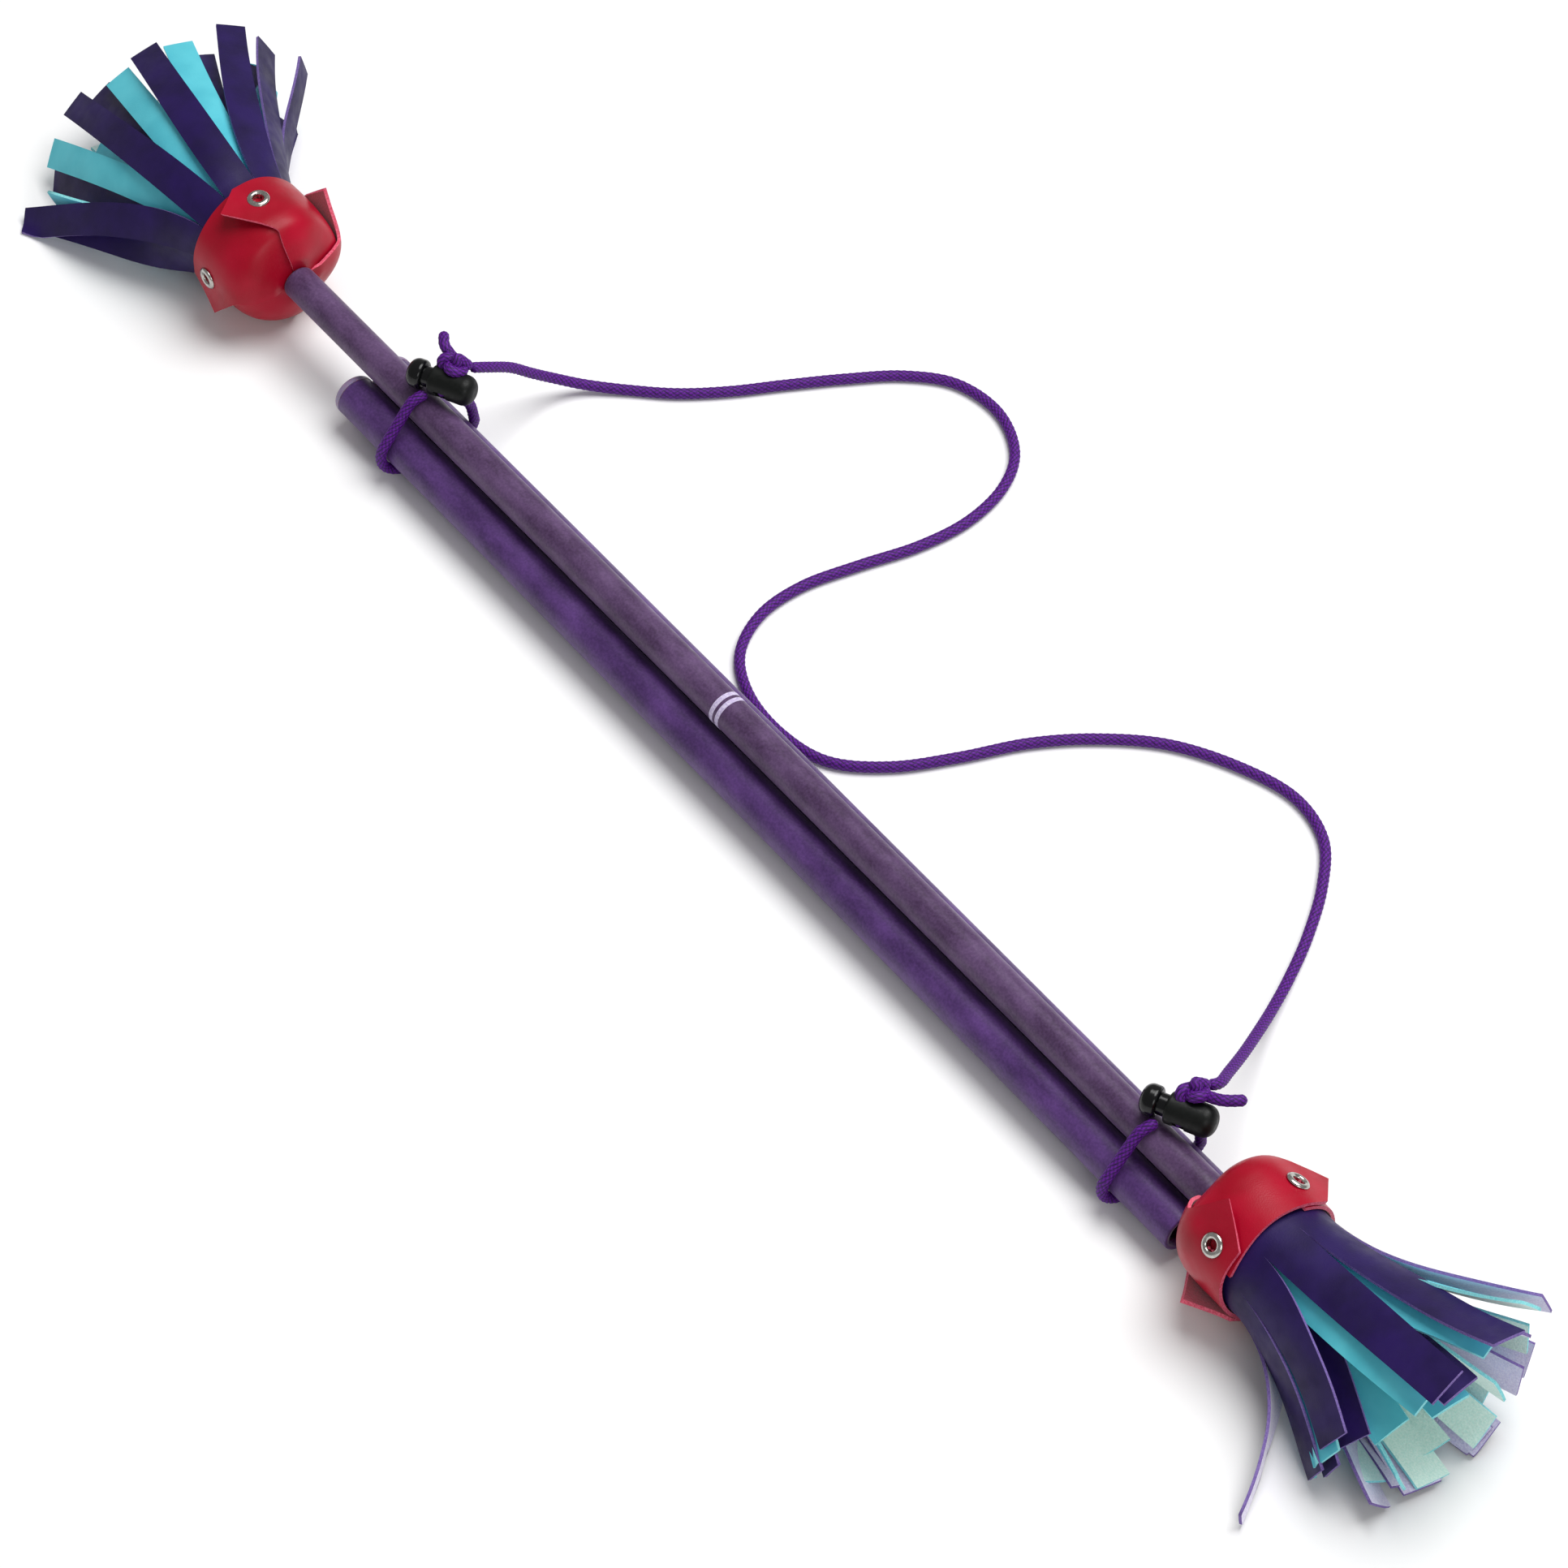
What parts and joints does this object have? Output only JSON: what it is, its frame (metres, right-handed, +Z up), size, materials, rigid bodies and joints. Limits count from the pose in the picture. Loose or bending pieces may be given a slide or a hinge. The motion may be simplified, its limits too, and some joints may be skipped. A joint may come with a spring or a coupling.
{
  "type": "devil stick",
  "caption": "Flower stick with tasselled ends, two hollow hand sticks held under it by cord loops with push-button cord locks, and a free wrist cord.",
  "frame": {"origin": "on the floor under the middle of the flower stick's shaft", "axes": "+X along the sticks towards the end where the hand sticks meet the collar, +Z up, +Y towards the side where the cord lies"},
  "size_m": [0.742, 0.2238, 0.0661],
  "materials": {
    "rod": "satin",
    "shaft_silicone": "soft matte translucent",
    "stick_silicone": "soft matte translucent",
    "cap_silicone": "soft matte translucent",
    "ring": "matte",
    "vinyl": "satin vinyl",
    "eyelet": "polished",
    "tape": "woven",
    "fringe_purple": "satin faux leather",
    "fringe_turquoise": "satin faux leather",
    "tube": "matte",
    "lock_plastic": "glossy",
    "spring_steel": "bright",
    "cord": "braided"
  },
  "bodies": {
    "flower_stick": {"core_rod": "rod", "shaft_sleeve": "shaft_silicone", "centre_rings": "ring", "far_collar": "vinyl", "far_eyelets": "eyelet", "far_binding": "tape", "far_fringe_outer_purple": "fringe_purple", "far_fringe_outer_turquoise": "fringe_turquoise", "far_fringe_inner_purple": "fringe_purple", "far_fringe_inner_turquoise": "fringe_turquoise", "near_collar": "vinyl", "near_eyelets": "eyelet", "near_binding": "tape", "near_fringe_outer_purple": "fringe_purple", "near_fringe_outer_turquoise": "fringe_turquoise", "near_fringe_inner_purple": "fringe_purple", "near_fringe_inner_turquoise": "fringe_turquoise", "far_lock_body": "lock_plastic", "far_lock_spring": "spring_steel", "far_loop": "cord", "far_knot": "cord", "near_lock_body": "lock_plastic", "near_lock_spring": "spring_steel", "near_loop": "cord", "near_knot": "cord", "strap": "cord"},
    "front_stick": {"front_stick_tube": "tube", "front_stick_sleeve": "stick_silicone", "front_stick_cap": "cap_silicone"},
    "rear_stick": {"rear_stick_tube": "tube", "rear_stick_sleeve": "stick_silicone", "rear_stick_cap": "cap_silicone"},
    "far_plunger": {"far_lock_plunger": "lock_plastic"},
    "near_plunger": {"near_lock_plunger": "lock_plastic"}
  },
  "joints": [
    {"name": "front_stick_slide", "type": "slide", "parent": "flower_stick", "child": "front_stick", "axis": [1, 0, 0], "range_m": [-0.042, 0]},
    {"name": "rear_stick_slide", "type": "slide", "parent": "flower_stick", "child": "rear_stick", "axis": [1, 0, 0], "range_m": [-0.042, 0]},
    {"name": "far_lock_press", "type": "slide", "parent": "flower_stick", "child": "far_plunger", "axis": [0.8988, 0.4384, 0], "range_m": [0, 0.0025], "stiffness_N_per_m": 800, "springref_m": -0.003, "deforming": ["far_lock_spring"]},
    {"name": "near_lock_press", "type": "slide", "parent": "flower_stick", "child": "near_plunger", "axis": [0.8988, 0.4384, 0], "range_m": [0, 0.0025], "stiffness_N_per_m": 800, "springref_m": -0.003, "deforming": ["near_lock_spring"]}
  ]
}
